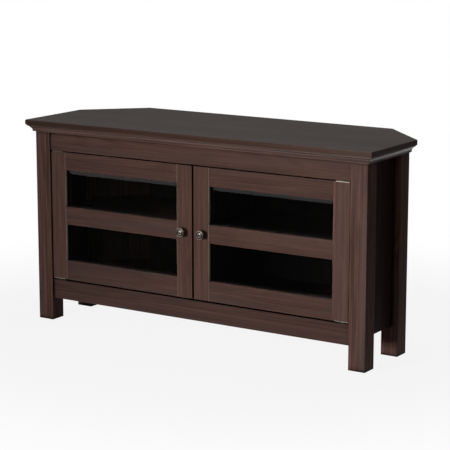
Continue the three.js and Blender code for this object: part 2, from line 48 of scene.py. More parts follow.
# Colours as they show in the photograph, in sRGB out of 255
BROWN_LIGHT = (95, 70, 62)
BROWN_MEAN = (79, 57, 50)
BROWN_DARK = (60, 43, 39)
BROWN_GREY = (74, 61, 59)
# The top face's colours are greyer than its brown edge band: partly the laminate's tone and partly a painted
# sheen
TOP_LIGHT = (90, 81, 77)
TOP_MEAN = (76, 68, 64)
TOP_DARK = (60, 53, 50)
TOP_GREY = (73, 69, 66)
TOP_EDGE = (58, 41, 34)
# Pale band on the stiles beside the glass: partly the edge band's colour and partly a painted highlight
REVEAL_BAND_AND_HIGHLIGHT = (170, 152, 143)
HARDBOARD = (36, 28, 24)
BRONZE_BRIGHT = (160, 150, 139)
BRONZE_PATINA = (40, 32, 27)
PLATED = (196, 184, 168)
NYLON = (30, 28, 27)
GLASS_GREEN = (226, 236, 232)
GLASS_CLEAR = (236, 243, 240)

# Palettes of the laminate: light, mean, dark and grey
BROWNS = (BROWN_LIGHT, BROWN_MEAN, BROWN_DARK, BROWN_GREY)
TOP_TONE_AND_SHEEN = (TOP_LIGHT, TOP_MEAN, TOP_DARK, TOP_GREY)
# Painted shade: a darker copy of the brown for the boards inside the cabinet
INSIDE_PAINTED_SHADE = tuple(tuple(c * 0.8 for c in colour) for colour in BROWNS)
# Painted shade: a darker copy of the brown for the recessed side panels
SIDE_PANEL_PAINTED_SHADE = tuple(tuple(c * 0.6 for c in colour) for colour in BROWNS)


def linear(colour, gain=1.0):
    """An sRGB colour out of 255 as linear RGBA."""
    out = []
    for c in colour:
        c = c / 255
        out.append(gain * (c / 12.92 if c <= 0.04045 else ((c + 0.055) / 1.055) ** 2.4))
    return (*out, 1.0)


# Small helpers for node materials

MASK_SAMPLES = 6
NO_SHIFT = (0, 0, 0)


class Tree:
    """The node tree of a material or a world, with short calls for the nodes used here."""

    def __init__(self, owner, output="ShaderNodeOutputMaterial"):
        self.owner = owner
        owner.use_nodes = True
        self.tree = owner.node_tree
        self.tree.nodes.clear()
        self.out = self.node(output)

    def node(self, kind, **settings):
        made = self.tree.nodes.new(kind)
        for key, value in settings.items():
            setattr(made, key, value)
        return made

    def link(self, source, target):
        self.tree.links.new(source, target)

    def put(self, socket, value):
        """Links a socket, or sets a plain number or colour."""
        if isinstance(value, bpy.types.NodeSocket):
            self.link(value, socket)
        else:
            socket.default_value = value

    def math(self, operation, *values, clamp=False):
        made = self.node("ShaderNodeMath", operation=operation, use_clamp=clamp)
        for socket, value in zip(made.inputs, values):
            self.put(socket, value)
        return made.outputs[0]

    def remap(self, value, from_low, from_high, to_low=0.0, to_high=1.0, smooth=False):
        made = self.node("ShaderNodeMapRange", interpolation_type="SMOOTHSTEP" if smooth else "LINEAR")
        self.put(made.inputs["Value"], value)
        self.put(made.inputs["From Min"], from_low)
        self.put(made.inputs["From Max"], from_high)
        self.put(made.inputs["To Min"], to_low)
        self.put(made.inputs["To Max"], to_high)
        return made.outputs["Result"]

    def mix(self, share, a, b, blend="MIX"):
        made = self.node("ShaderNodeMix", data_type="RGBA", blend_type=blend)
        self.put(made.inputs[0], share)
        self.put(made.inputs[6], a)
        self.put(made.inputs[7], b)
        return made.outputs[2]

    def noise(self, vector, scale, detail, roughness, distortion=0.0):
        made = self.node("ShaderNodeTexNoise", noise_dimensions="3D")
        self.put(made.inputs["Vector"], vector)
        self.put(made.inputs["Scale"], scale)
        self.put(made.inputs["Detail"], detail)
        self.put(made.inputs["Roughness"], roughness)
        self.put(made.inputs["Distortion"], distortion)
        return made.outputs["Fac"]

    def place(self):
        """Where a point is on the piece, in the model's own metres."""
        return self.node("ShaderNodeTexCoord").outputs["Object"]

    def grain(self, place, layer, axis, shift):
        """Noise that is drawn out along an axis and moved by shift."""
        along, across, *texture = layer
        scale = [across, across, across]
        scale[axis] = along
        moved = self.node("ShaderNodeMapping")
        self.link(place, moved.inputs["Vector"])
        moved.inputs["Scale"].default_value = scale
        moved.inputs["Location"].default_value = shift
        return self.noise(moved.outputs["Vector"], 1.0, *texture)

    def bump(self, height, strength, distance):
        made = self.node("ShaderNodeBump")
        self.put(made.inputs["Height"], height)
        made.inputs["Strength"].default_value = strength
        made.inputs["Distance"].default_value = distance
        return made.outputs["Normal"]

    def edge_mask(self, radius, low, high):
        """1 on sharp edges and corners and 0 on flat faces."""
        rounded = self.node("ShaderNodeBevel", samples=MASK_SAMPLES)
        rounded.inputs["Radius"].default_value = radius
        plain = self.node("ShaderNodeNewGeometry")
        dot = self.node("ShaderNodeVectorMath", operation="DOT_PRODUCT")
        self.link(rounded.outputs["Normal"], dot.inputs[0])
        self.link(plain.outputs["True Normal"], dot.inputs[1])
        return self.remap(dot.outputs["Value"], 1 - low, 1 - high, 0.0, 1.0, smooth=True)

    def painted_crevice_shade(self, reach, darkest):
        """Painted shade in crevices: a factor of 1 on open faces, falling to darkest where another face
        stands within reach.
        """
        near = self.node("ShaderNodeAmbientOcclusion", samples=MASK_SAMPLES)
        near.inputs["Distance"].default_value = reach
        return self.remap(near.outputs["AO"], 0.5, 0.9, darkest, 1.0)

    def surface(self, **inputs):
        """Shows the principled shader, whose socket names are written with underscores."""
        shader = self.node("ShaderNodeBsdfPrincipled")
        for key, value in inputs.items():
            self.put(shader.inputs[key.replace("_", " ")], value)
        self.link(shader.outputs[0], self.out.inputs[0])

    def glow(self, kind, strength):
        """A white emission or background node."""
        made = self.node(kind)
        made.inputs["Color"].default_value = WHITE
        made.inputs["Strength"].default_value = strength
        return made

    def show_both(self, share, under, over):
        """Shows one shader where share is 0 and the other where it is 1."""
        mixed = self.node("ShaderNodeMixShader")
        self.link(share, mixed.inputs[0])
        self.link(under.outputs[0], mixed.inputs[1])
        self.link(over.outputs[0], mixed.inputs[2])
        self.link(mixed.outputs[0], self.out.inputs[0])


def new_tree(name):
    return Tree(bpy.data.materials.new(name))


GRAIN_AXIS = {"X": 0, "Y": 1, "Z": 2}

# Layers of grain: repeats in a metre along the board and across it, then detail, roughness and distortion
BROAD_BANDS = (0.9, 9.0, 1.0, 0.5, 0.4)
FLAT_SAWN_LOOPS = (1.5, 19.0, 1.5, 0.45, 0.5)
STREAKS = (2.6, 210.0, 5.0, 0.62, 0.15)
FINE_LINES = (16.0, 900.0, 3.0, 0.6)
PORES = (55.0, 1700.0, 1.0, 0.5)
GREY_CLOUDS = (1.2, 30.0, 3.0, 0.6)
REVEAL_LINES = (6.0, 300.0, 3.0, 0.6)
PRESSED_FIBRES = (500.0, 900.0, 3.0, 0.6)
BRUSHING = (60.0, 2600.0, 3.0, 0.6)

# Parts of a noise's range: those where most of it lies, and its higher places
MIDDLE = (0.3, 0.7)
WIDE_MIDDLE = (0.25, 0.75)
BAND_MIDDLE = (0.28, 0.72)
GREY_PLACES = (0.48, 0.72)
PORE_PLACES = (0.62, 0.72)

# How the layers of the wood are mixed
RING_COUNT = 62.0
RING_SHARE = 0.22
BAND_SHARE = 0.20
LINE_SHARE = 0.22
GREY_SHARE = 0.7
GREY_SEED = 0.5
PORE_SHARE = 0.45
PORE_TONE = 0.45
PORE_ROUGHNESS = 0.18
PORE_DEPTH = 0.8
STREAK_DEPTH = 0.5
LINE_DEPTH = 0.3

# Edges and narrow faces of the boards: paler arrises and reveal bands that are partly painted highlight, and
# painted shade in crevices
WEAR_AND_HIGHLIGHT_RADIUS = 1.3 * MM
WEAR_AND_HIGHLIGHT_GAIN = 1.42
WEAR_AND_HIGHLIGHT_LIFT = 8
EDGE_BAND_GLOSS = 0.18
REVEAL_DEPTH = 6.5 * MM
REVEAL_FADE = 1 * MM
REVEAL_SOLID = 0.2 * MM
REVEAL_END = 0.6 * MM
# Painted shade in crevices: how far it reaches and how dark it gets
CREVICE_SHADE_REACH = 14 * MM
CREVICE_SHADE_DARKEST = 0.05


def shift_of(seed):
    """A repeatable offset in texture space, so that no two boards share their figure."""
    return (math.sin(seed * 12.9898) * 37.0, math.sin(seed * 78.233) * 53.0, math.sin(seed * 37.719) * 71.0)


def wood(
    name, grain, seed, palette=BROWNS, roughness=0.42, figure=1.0, contrast=1.0, gain=1.0, edge=0.35,
    specular=0.12, reveal_at=None, upright=None,
):
    """Wood-grain laminate: streaks, flat-sawn loops, pores, paler arrises that are partly wear and partly a
    painted highlight, and painted shade in crevices.

    figure is the share of the flat-sawn loops, contrast how far the streaks differ in tone, gain the
    brightness of the colours, and edge how far the arrises pale, partly as wear and partly as a painted
    highlight.
    reveal_at is the X and front Y of a stile's narrow face beside the glass, which has a pale band: partly a
    paler edge band and partly a painted highlight.
    upright is the colour of a board's upright edge band, where that differs from its face."""
    light, mean, dark, grey = palette
    t = new_tree(name)
    axis = GRAIN_AXIS[grain]
    place = t.place()
    shift = shift_of(seed)
    broad = t.grain(place, BROAD_BANDS, axis, shift)
    loops = t.grain(place, FLAT_SAWN_LOOPS, axis, shift)
    rings = t.math("MULTIPLY_ADD", t.math("SINE", t.math("MULTIPLY", loops, RING_COUNT)), 0.5, 0.5)
    streaks = t.grain(place, STREAKS, axis, shift)
    fine = t.grain(place, FINE_LINES, axis, shift)
    pores = t.remap(t.grain(place, PORES, axis, shift), *PORE_PLACES)

    tone = t.remap(streaks, *MIDDLE)
    tone = t.mix(RING_SHARE * figure, tone, rings)
    tone = t.mix(BAND_SHARE, tone, t.remap(broad, *BAND_MIDDLE))
    tone = t.mix(LINE_SHARE, tone, t.remap(fine, *WIDE_MIDDLE))
    tone = t.remap(tone, 0.0, 1.0, 0.5 - contrast / 2, 0.5 + contrast / 2)
    body = t.mix(t.remap(tone, 0.3, 0.5), linear(dark, gain), linear(mean, gain))
    body = t.mix(t.remap(tone, 0.5, 0.7), body, linear(light, gain))
    cool = t.remap(t.grain(place, GREY_CLOUDS, axis, shift_of(seed + GREY_SEED)), *GREY_PLACES)
    body = t.mix(t.math("MULTIPLY", cool, GREY_SHARE), body, linear(grey, gain))
    body = t.mix(t.math("MULTIPLY", pores, PORE_SHARE), body, linear(dark, PORE_TONE * gain))
    rough = t.remap(streaks, *WIDE_MIDDLE, roughness - 0.05, roughness + 0.07)
    rough = t.math("ADD", rough, t.math("MULTIPLY", pores, PORE_ROUGHNESS), clamp=True)

    if upright is not None:
        facing = t.node("ShaderNodeSeparateXYZ")
        t.link(t.node("ShaderNodeNewGeometry").outputs["Normal"], facing.inputs[0])
        flat = t.remap(t.math("ABSOLUTE", facing.outputs["Z"]), 0.45, 0.8)
        banded = t.mix(t.remap(tone, 0.35, 0.65), linear(upright, 0.8 * gain), linear(upright, 1.25 * gain))
        body = t.mix(flat, banded, body)
        rough = t.math("SUBTRACT", rough, t.remap(flat, 0.0, 1.0, EDGE_BAND_GLOSS, 0.0), clamp=True)

    # Paler arrises: partly wear and partly a painted highlight.
    wear_and_highlight = t.edge_mask(WEAR_AND_HIGHLIGHT_RADIUS, 0.02, 0.3)
    patchy = t.remap(t.noise(place, 60.0, 3.0, 0.6), *MIDDLE, 0.35, 1.0)
    wear_and_highlight = t.math("MULTIPLY", t.math("MULTIPLY", wear_and_highlight, patchy), edge)
    body = t.mix(wear_and_highlight, body, linear(tuple(min(255, c * WEAR_AND_HIGHLIGHT_GAIN + WEAR_AND_HIGHLIGHT_LIFT) for c in light), gain))
    # Painted shade: the colour darkens in gaps, recesses and corners where another face stands near.
    body = t.mix(1.0, body, t.painted_crevice_shade(CREVICE_SHADE_REACH, CREVICE_SHADE_DARKEST), blend="MULTIPLY")

    # The pale band beside the glass: partly a paler edge band and partly a painted highlight.
    if reveal_at is not None:
        apart = t.node("ShaderNodeSeparateXYZ")
        t.link(place, apart.inputs[0])
        off = t.math("ABSOLUTE", t.math("SUBTRACT", apart.outputs["X"], reveal_at[0]))
        deep = t.math("SUBTRACT", apart.outputs["Y"], reveal_at[1])
        band = t.remap(off, REVEAL_SOLID, REVEAL_END, 1.0, 0.0, smooth=True)
        band = t.math("MULTIPLY", band, t.remap(deep, REVEAL_DEPTH, REVEAL_DEPTH + REVEAL_FADE, 1.0, 0.0))
        cloud = t.remap(t.grain(place, REVEAL_LINES, axis, shift), *MIDDLE)
        body = t.mix(band, body, t.mix(cloud, linear(REVEAL_BAND_AND_HIGHLIGHT, 0.8), linear(REVEAL_BAND_AND_HIGHLIGHT, 1.15)))
        rough = t.math("SUBTRACT", rough, t.math("MULTIPLY", band, EDGE_BAND_GLOSS), clamp=True)

    height = t.math("MULTIPLY", streaks, STREAK_DEPTH)
    height = t.math("SUBTRACT", height, t.math("MULTIPLY", pores, PORE_DEPTH))
    height = t.math("ADD", height, t.math("MULTIPLY", fine, LINE_DEPTH))
    t.surface(
        Base_Color=body,
        Roughness=rough,
        Specular_IOR_Level=specular,
        Normal=t.bump(height, strength=0.35, distance=0.12 * MM),
    )
    return t.owner


def hardboard(name, seed):
    """Thin dark hardboard: a fine pressed-fibre mottle."""
    t = new_tree(name)
    place = t.place()
    mottle = t.noise(place, 55.0, 6.0, 0.65)
    fibre = t.grain(place, PRESSED_FIBRES, GRAIN_AXIS["X"], shift_of(seed))
    body = t.mix(t.remap(mottle, *MIDDLE), linear(HARDBOARD, 0.75), linear(HARDBOARD, 1.3))
    body = t.mix(t.remap(fibre, 0.4, 0.8, 0.0, 0.35), body, linear(HARDBOARD, 2.0))
    t.surface(
        Base_Color=body,
        Roughness=t.remap(mottle, *MIDDLE, 0.62, 0.8),
        Specular_IOR_Level=0.3,
        Normal=t.bump(fibre, strength=0.3, distance=0.1 * MM),
    )
    return t.owner


def glass(name):
    """Clear glass with a slight green tint and the faint cloudiness of a handled pane."""
    t = new_tree(name)
    haze = t.noise(t.place(), 14.0, 4.0, 0.6)
    t.surface(
        Base_Color=t.mix(t.remap(haze, *MIDDLE), linear(GLASS_GREEN), linear(GLASS_CLEAR)),
        Roughness=t.remap(haze, 0.4, 0.75, 0.0, 0.012),
        IOR=1.5,
        Transmission_Weight=1.0,
    )
    return t.owner


def bronze(name):
    """Aged bronze: bright where hands rub it, dark patina in the groove."""
    t = new_tree(name)
    rubbed = t.node("ShaderNodeAttribute", attribute_name="rubbed").outputs["Fac"]
    cloud = t.noise(t.place(), 420.0, 5.0, 0.6)
    share = t.math("ADD", rubbed, t.remap(cloud, *MIDDLE, -0.16, 0.16), clamp=True)
    t.surface(
        Base_Color=t.mix(share, linear(BRONZE_PATINA), linear(BRONZE_BRIGHT)),
        Metallic=1.0,
        Roughness=t.remap(share, 0.0, 1.0, 0.5, 0.24),
        Normal=t.bump(cloud, strength=0.15, distance=0.05 * MM),
    )
    return t.owner


def plated_steel(name):
    """Satin nickel plate with fine brushing."""
    t = new_tree(name)
    brushed = t.grain(t.place(), BRUSHING, GRAIN_AXIS["X"], NO_SHIFT)
    t.surface(
        Base_Color=t.mix(t.remap(brushed, *MIDDLE), linear(PLATED, 0.8), linear(PLATED, 1.05)),
        Metallic=1.0,
        Roughness=t.remap(brushed, *MIDDLE, 0.28, 0.42),
        Normal=t.bump(brushed, strength=0.2, distance=0.03 * MM),
    )
    return t.owner


def nylon(name):
    """Matt moulded nylon."""
    t = new_tree(name)
    speck = t.noise(t.place(), 1800.0, 3.0, 0.6)
    t.surface(
        Base_Color=t.mix(t.remap(speck, *MIDDLE), linear(NYLON, 0.8), linear(NYLON, 1.3)),
        Roughness=t.remap(speck, *MIDDLE, 0.5, 0.65),
        Normal=t.bump(speck, strength=0.15, distance=0.04 * MM),
    )
    return t.owner


# Finishes of the CAD nodes

GLASS = glass("bevelled_glass")
STEEL = plated_steel("plated_steel")
NYLON_BLACK = nylon("black_nylon")
BACK = hardboard("dark_hardboard", 3.0)
BRONZE = bronze("aged_bronze")

# Gloss, evenness and brightness of the boards that differ from a plain one
NEARLY_MATT = 0.02
POLISHED = 0.5
RAIL_CONTRAST = 0.55
STILE_CONTRAST = 0.65
STILE_GAIN = 0.94
POST_GAIN = 1.1
APRON_GAIN = 0.86
# Painted shade: the bottom rail is darker, low on the front
BOTTOM_RAIL_SHADE_GAIN = 0.74
LEFT_DOOR_RAIL_GAIN = 0.85
RIGHT_DOOR_RAIL_GAIN = 0.77


def grain_of(node):
    """The way the grain runs on a board."""
    if any(word in node for word in ("post", "stile", "panel_", "divider")):
        return "Z"
    if node in ("moulding_left", "moulding_right"):
        return "Y"
    return "X"


def board_look(node):
    """What sets a board's laminate apart from the plain brown one."""
    if node == "top_board":
        # The flat face takes the greyer colours, partly a painted sheen; the upright edges take the brown
        # edge band.
        return dict(palette=TOP_TONE_AND_SHEEN, roughness=0.5, figure=0.7, edge=0.15, specular=0.15, upright=TOP_EDGE)
    if node in ("floor_board", "back_rail", "divider", "shelf_left", "shelf_right"):
        return dict(palette=INSIDE_PAINTED_SHADE, roughness=0.55, edge=0.3)
    if node.startswith("side_panel"):
        return dict(palette=SIDE_PANEL_PAINTED_SHADE, specular=NEARLY_MATT)
    if node.startswith("slant_panel") or "_post_" in node:
        return dict(gain=POST_GAIN, specular=NEARLY_MATT)
    if node.startswith("moulding"):
        return dict(roughness=0.28, figure=0.5, specular=POLISHED)
    if node.endswith("_stile"):
        low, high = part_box(node)
        pane_low, pane_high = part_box(node.split("_door")[0] + "_door_upper_glass")
        towards_right = pane_low[0] + pane_high[0] > low[0] + high[0]
        reveal_at = (high[0] if towards_right else low[0], low[1])
        return dict(contrast=STILE_CONTRAST, gain=STILE_GAIN, reveal_at=reveal_at)
    if node == "bottom_rail":
        return dict(contrast=RAIL_CONTRAST, gain=BOTTOM_RAIL_SHADE_GAIN)
    if node.endswith("_rail"):
        gain = RIGHT_DOOR_RAIL_GAIN if node.startswith("right") else LEFT_DOOR_RAIL_GAIN
        return dict(contrast=RAIL_CONTRAST, gain=gain)
    return dict(contrast=RAIL_CONTRAST, gain=APRON_GAIN)


def finish_of(node, seed):
    """The material of a CAD node."""
    if node.endswith("_glass"):
        return GLASS
    if node.endswith("_knob"):
        return BRONZE
    if node.startswith("shelf_pin") or node.endswith(("knob_screw", "leaf_top", "leaf_bottom", "strike")):
        return STEEL
    if node.startswith(("hinge_bush", "catch")):
        return NYLON_BLACK
    if node == "back_panel":
        return BACK
    return wood(node, grain_of(node), seed, **board_look(node))


ARRIS = 0.5 * MM
FINE_ARRIS = 0.35 * MM
ARRIS_SEGMENTS = 2
SHARP_FROM_DEGREES = 40
FLAT_TO_DEGREES = 1.0
WELD_REACH = 0.01 * MM
FIRST_SEED = 1.0
SEED_STEP = 0.37


def arris_of(node):
    """How far a board's arrises are eased. Some are rounded in the CAD already."""
    if node == "top_board" or "_post_" in node:
        return FINE_ARRIS
    if node.startswith(("hinge_bush", "shelf_pin")):
        return 0.0
    if node.endswith(("glass", "screw", "leaf_top", "leaf_bottom")):
        return 0.0
    return ARRIS


def ease_edges(obj, width):
    """Joins the split triangles, clears the flat ones and rounds the arrises a little."""
    weld = obj.modifiers.new("weld", "WELD")
    weld.merge_threshold = WELD_REACH
    flat = obj.modifiers.new("flat_faces", "DECIMATE")
    flat.decimate_type = "DISSOLVE"
    flat.angle_limit = math.radians(FLAT_TO_DEGREES)
    bevel = obj.modifiers.new("eased_arris", "BEVEL")
    bevel.width = width
    bevel.segments = ARRIS_SEGMENTS
    bevel.limit_method = "ANGLE"
    bevel.angle_limit = math.radians(SHARP_FROM_DEGREES)
    bevel.harden_normals = False


for number, (name, obj) in enumerate(sorted(nodes.items())):
    material = finish_of(name, FIRST_SEED + SEED_STEP * number)
    for slot in obj.material_slots:
        slot.material = material
    if arris_of(name) > 0:
        ease_edges(obj, arris_of(name))

# Finer pieces in place of the CAD's knobs and mouldings


def place_in_scene(obj):
    bpy.context.scene.collection.objects.link(obj)
    return obj


def new_piece(name, bm, body, material, smooth_angle):
    """Adds a mesh as a piece of the model. Edges flatter than smooth_angle are shaded smooth."""
    mesh = bpy.data.meshes.new(name)
    bmesh.ops.recalc_face_normals(bm, faces=bm.faces[:])
    for face in bm.faces:
        face.smooth = True
    for edge in bm.edges:
        edge.smooth = len(edge.link_faces) == 2 and edge.calc_face_angle() < math.radians(smooth_angle)
    bm.to_mesh(mesh)
    bm.free()
    obj = place_in_scene(bpy.data.objects.new(name, mesh))
    obj.data.materials.append(material)
    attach(obj, body)
    return obj


def through(points, steps):
    """A smooth line through the points, with the given number of steps between each two."""
    line = []
    ends = [points[0], *points, points[-1]]
    for i in range(1, len(ends) - 2):
        p0, p1, p2, p3 = (Vector(ends[i + k]) for k in (-1, 0, 1, 2))
        for k in range(steps):
            u = k / steps
            line.append(0.5 * (
                2 * p1 + (p2 - p0) * u + (2 * p0 - 5 * p1 + 4 * p2 - p3) * u * u
                + (3 * p1 - p0 - 3 * p2 + p3) * u ** 3
            ))
    line.append(Vector(points[-1]))
    return line


# The knob's outline as shares of its radius and of its projection, and how bright each place is rubbed
KNOB_OUTLINE = (
    (0.58, 0.0, 0.0), (0.58, 0.07, 0.05), (0.46, 0.14, 0.0), (0.36, 0.24, 0.0), (0.35, 0.36, 0.0),
    (0.42, 0.47, 0.0), (0.64, 0.57, 0.1), (0.86, 0.63, 0.3), (0.965, 0.7, 0.6), (1.0, 0.79, 0.9),
    (0.985, 0.87, 0.8), (0.96, 0.905, 0.7), (0.82, 0.948, 0.75), (0.77, 0.935, 0.6), (0.72, 0.86, 0.1),
    (0.67, 0.82, 0.0), (0.62, 0.83, 0.0), (0.57, 0.88, 0.4), (0.48, 0.93, 1.0), (0.36, 0.965, 1.0),
    (0.22, 0.99, 1.0), (0.1, 1.0, 1.0), (0.0, 1.0, 1.0),
)
KNOB_STEPS = 4
KNOB_SEGMENTS = 96
KNOB_BORE = 2.3 * MM
KNOB_BORE_DEPTH = 8.3 * MM
KNOB_SMOOTH_TO_DEGREES = 50


def share_of_one(value):
    return min(1.0, max(0.0, value))


def make_knob(side):
    """A turned knob, with a bore for its screw."""
    low, high = (Vector(corner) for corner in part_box(f"{side}_door_knob"))
    radius = (high.z - low.z) / 2
    projection = high.y - low.y
    middle = (low + high) / 2
    bm = bmesh.new()
    rubbed = bm.verts.layers.float.new("rubbed")
    outline = [(0.0, KNOB_BORE_DEPTH, 0.0), (KNOB_BORE, KNOB_BORE_DEPTH, 0.0), (KNOB_BORE, 0.0, 0.0)]
    for p in through(KNOB_OUTLINE, KNOB_STEPS):
        outline.append((max(0.0, p.x) * radius, share_of_one(p.y) * projection, p.z))
    rings = []
    for reach, out, shine in outline:
        ring = []
        for k in range(KNOB_SEGMENTS if reach > 0 else 1):
            angle = 2 * math.pi * k / KNOB_SEGMENTS
            vert = bm.verts.new((
                middle.x + reach * math.cos(angle), high.y - out, middle.z + reach * math.sin(angle),
            ))
            vert[rubbed] = share_of_one(shine)
            ring.append(vert)
        rings.append(ring)
    for a, b in zip(rings, rings[1:]):
        for k in range(KNOB_SEGMENTS):
            after = (k + 1) % KNOB_SEGMENTS
            corners = [a[k % len(a)], a[after % len(a)], b[after % len(b)], b[k % len(b)]]
            bm.faces.new(list(dict.fromkeys(corners)))
    knob = new_piece(f"{side}_turned_knob", bm, f"{side}_door", BRONZE, KNOB_SMOOTH_TO_DEGREES)
    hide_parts(f"{side}_door_knob")


for side in ("left", "right"):
    make_knob(side)

# The moulding's section: reach outward from the posts' faces and height, in millimetres
MOULDING_HEIGHT = 18.8
MOULDING_TOP_BAND = 3.0
MOULDING_BOTTOM_BAND = 2.5
MOULDING_TOP_REACH = 17.2
MOULDING_BOTTOM_REACH = 5.7
MOULDING_STEP = 1.5
COVE_HOLLOW = 2.2
ROUNDED_ARRIS = 0.5
TOUCH_GAP = 0.3
COVE_STEPS = 28
ROUNDED_ARRIS_STEPS = 4
COVE_START = 3
MOULDING_SMOOTH_TO_DEGREES = 35
MOULDING_SEED = 40


def curve(start, pull, end, steps):
    """Points of a plain curve from start to end that leans towards pull."""
    points = []
    for k in range(steps + 1):
        u = k / steps
        points.append((1 - u) ** 2 * start + 2 * u * (1 - u) * pull + u * u * end)
    return points


def rounded_corner(before, corner, after, radius):
    """The points of a small curve that replaces a corner."""
    before, corner, after = Vector(before), Vector(corner), Vector(after)
    start = corner + (before - corner).normalized() * radius
    end = corner + (after - corner).normalized() * radius
    return curve(start, corner, end, ROUNDED_ARRIS_STEPS)


def moulding_section():
    """The moulding's closed outline, from its inner foot round the outside to its inner top."""
    top = MOULDING_HEIGHT - TOUCH_GAP
    start = Vector((MOULDING_BOTTOM_REACH, MOULDING_BOTTOM_BAND))
    end = Vector((MOULDING_TOP_REACH - MOULDING_STEP, MOULDING_HEIGHT - MOULDING_TOP_BAND))
    chord = start - end
    pull = (start + end) / 2 + Vector((chord.y, -chord.x)).normalized() * 2 * COVE_HOLLOW
    cove = curve(start, pull, end, COVE_STEPS)
    step = Vector((MOULDING_TOP_REACH, end.y))
    points = [Vector((TOUCH_GAP, 0))]
    points += rounded_corner((TOUCH_GAP, 0), (MOULDING_BOTTOM_REACH, 0), cove[0], ROUNDED_ARRIS)
    points += rounded_corner((MOULDING_BOTTOM_REACH, 0), cove[0], cove[COVE_START], ROUNDED_ARRIS)
    points += cove[COVE_START:]
    points += rounded_corner(end, step, (MOULDING_TOP_REACH, top), ROUNDED_ARRIS)
    points += rounded_corner(step, (MOULDING_TOP_REACH, top), (TOUCH_GAP, top), ROUNDED_ARRIS)
    points.append(Vector((TOUCH_GAP, top)))
    return points


def make_moulding(name, start, out, length, mitre_start, mitre_end):
    """One length of moulding from its start corner, running to the left as seen from outside it."""
    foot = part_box("moulding_front")[0][2]
    out = Vector((*out, 0))
    along = Vector((out.y, -out.x, 0))
    mitre_gap = TOUCH_GAP * math.sqrt(2) / 2
    bm = bmesh.new()
    ends = []
    for share, mitre, sign in ((0, mitre_start, -1), (1, mitre_end, 1)):
        ring = []
        for point in moulding_section():
            run = share * length + (sign * (point.x - mitre_gap) if mitre else 0)
            corner = Vector((*start, foot + point.y * MM))
            ring.append(bm.verts.new(corner + (out * point.x + along * run) * MM))
        ends.append(ring)
        bm.faces.new(ring)
    for k in range(len(ends[0])):
        after = (k + 1) % len(ends[0])
        bm.faces.new((ends[0][k], ends[0][after], ends[1][after], ends[1][k]))
    bmesh.ops.triangulate(bm, faces=[face for face in bm.faces if len(face.verts) > 4])
    laminate = finish_of(name, MOULDING_SEED + len(name))
    piece = new_piece(
        f"{name}_fine", bm, "cabinet", laminate, MOULDING_SMOOTH_TO_DEGREES,
    )
    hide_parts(name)


post_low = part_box("front_post_left")[0]
post_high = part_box("rear_post_right")[1]
front_run = (post_high[0] - post_low[0]) / MM
side_run = (post_high[1] - post_low[1]) / MM
make_moulding("moulding_front", (post_high[0], post_low[1]), (0, -1), front_run, True, True)
make_moulding("moulding_left", (post_low[0], post_low[1]), (-1, 0), side_run, True, False)
make_moulding("moulding_right", (post_high[0], post_high[1]), (1, 0), side_run, False, True)

# Brad heads that hold the thin back panel

BRAD_RADIUS = 1.9 * MM
BRAD_RISE = 0.5 * MM
BRAD_INSET = 8 * MM
BRAD_SPACING = 95 * MM
BRAD_SEGMENTS = 14
BRAD_SMOOTH_TO_DEGREES = 50
# Shares of the head's radius and of its rise, from inside the panel outward
BRAD_OUTLINE = ((1.0, -0.4), (1.0, 0.3), (0.85, 0.75), (0.5, 1.0))


def brad_places():
    low, high = (Vector(corner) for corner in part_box("back_panel"))
    x0, x1, z0, z1 = low.x + BRAD_INSET, high.x - BRAD_INSET, low.z + BRAD_INSET, high.z - BRAD_INSET
    across = round((x1 - x0) / BRAD_SPACING)
    up = round((z1 - z0) / BRAD_SPACING)
    places = [(x0 + (x1 - x0) * k / across, z) for z in (z0, z1) for k in range(across + 1)]
    places += [(x, z0 + (z1 - z0) * k / up) for x in (x0, (x0 + x1) / 2, x1) for k in range(1, up)]
    return [(x, high.y, z) for x, z in places]


def make_brads():
    bm = bmesh.new()
    for x, y, z in brad_places():
        rings = []
        for reach, rise in BRAD_OUTLINE:
            ring = []
            for k in range(BRAD_SEGMENTS):
                angle = 2 * math.pi * k / BRAD_SEGMENTS
                ring.append(bm.verts.new((
                    x + BRAD_RADIUS * reach * math.cos(angle), y + BRAD_RISE * rise,
                    z + BRAD_RADIUS * reach * math.sin(angle),
                )))
            rings.append(ring)
        bm.faces.new(rings[0])
        bm.faces.new(rings[-1])
        for a, b in zip(rings, rings[1:]):
            for k in range(BRAD_SEGMENTS):
                after = (k + 1) % BRAD_SEGMENTS
                bm.faces.new((a[k], a[after], b[after], b[k]))
    new_piece("back_panel_brads", bm, "cabinet", STEEL, BRAD_SMOOTH_TO_DEGREES)


make_brads()

# Floor and background

# How far from the cabinet the floor starts to fade into the background, and where it has done so
FADE_NEAR = 0.6
FADE_FAR = 1.5
# The share of plain white in the near floor as it is seen, and how pale the rest is
FLOOR_GLOW = 0.88
FLOOR_SHADE = 0.62
FLOOR_RADIUS = 60.0
FLOOR_SEGMENTS = 96
AMBIENT = 0.04


def seen_plainly(t):
    """1 where a surface is seen directly, mirrored or through glass, with no matt bounce between."""
    path = t.node("ShaderNodeLightPath")
    seen = t.math("MAXIMUM", path.outputs["Is Camera Ray"], path.outputs["Is Glossy Ray"])
    seen = t.math("MAXIMUM", seen, path.outputs["Is Transmission Ray"])
    return t.math("MULTIPLY", seen, t.math("LESS_THAN", path.outputs["Diffuse Depth"], 0.5))


